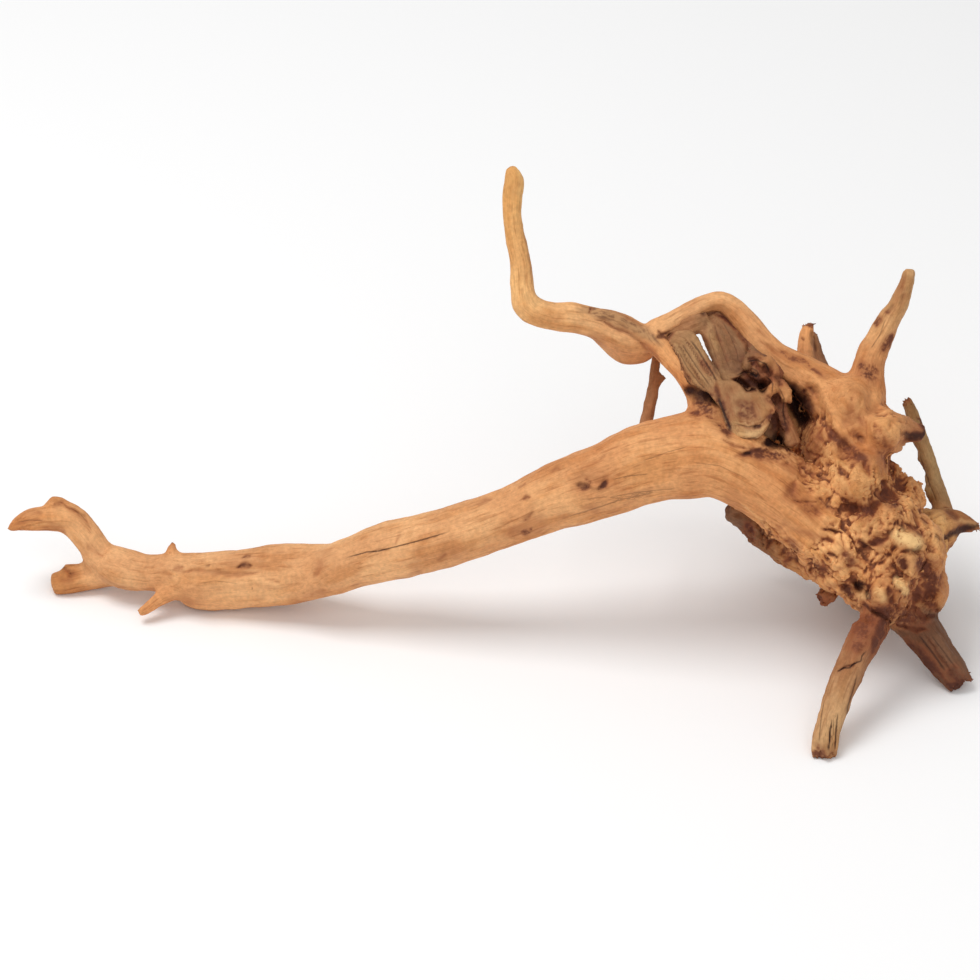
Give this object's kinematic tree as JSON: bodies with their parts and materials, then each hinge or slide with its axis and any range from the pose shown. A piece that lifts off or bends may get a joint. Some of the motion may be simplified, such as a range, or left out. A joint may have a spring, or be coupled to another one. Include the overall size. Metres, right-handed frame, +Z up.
{
  "type": "aquarium driftwood",
  "caption": "Branching root driftwood for an aquarium: a knotted burl on short roots, one long low branch, and arching twigs above it.",
  "frame": {"origin": "on the surface it rests on, under the middle of its bounding box", "axes": "+Z up; X along the long branch, which points to -X from the burl; +Y away from the side with the front leg"},
  "size_m": [0.4073, 0.1652, 0.1803],
  "materials": {
    "pale_wood": "stripped and sun-dried wood, matt, long fine grain, tan to orange",
    "burl": "twisted root wood, red-brown in the hollows and tan on the crests",
    "grey_wood": "dead weathered wood, grey-brown, deeply grained",
    "brown_wood": "thin dry branch wood, tan with red-brown patches",
    "olive_wood": "thin dry root, olive grey",
    "leg_wood": "dry broken root, brown with dark cracks"
  },
  "bodies": {
    "root": {"root_crown": "burl", "main_branch": "pale_wood", "tip_claw": "pale_wood", "tip_stub": "pale_wood", "arch_branch": "pale_wood", "inner_branch": "pale_wood", "long_twig": "pale_wood", "weathered_heart": "grey_wood", "horn": "brown_wood", "side_root": "olive_wood", "leg_front": "leg_wood", "leg_rear": "leg_wood", "back_twig": "brown_wood"}
  },
  "joints": []
}
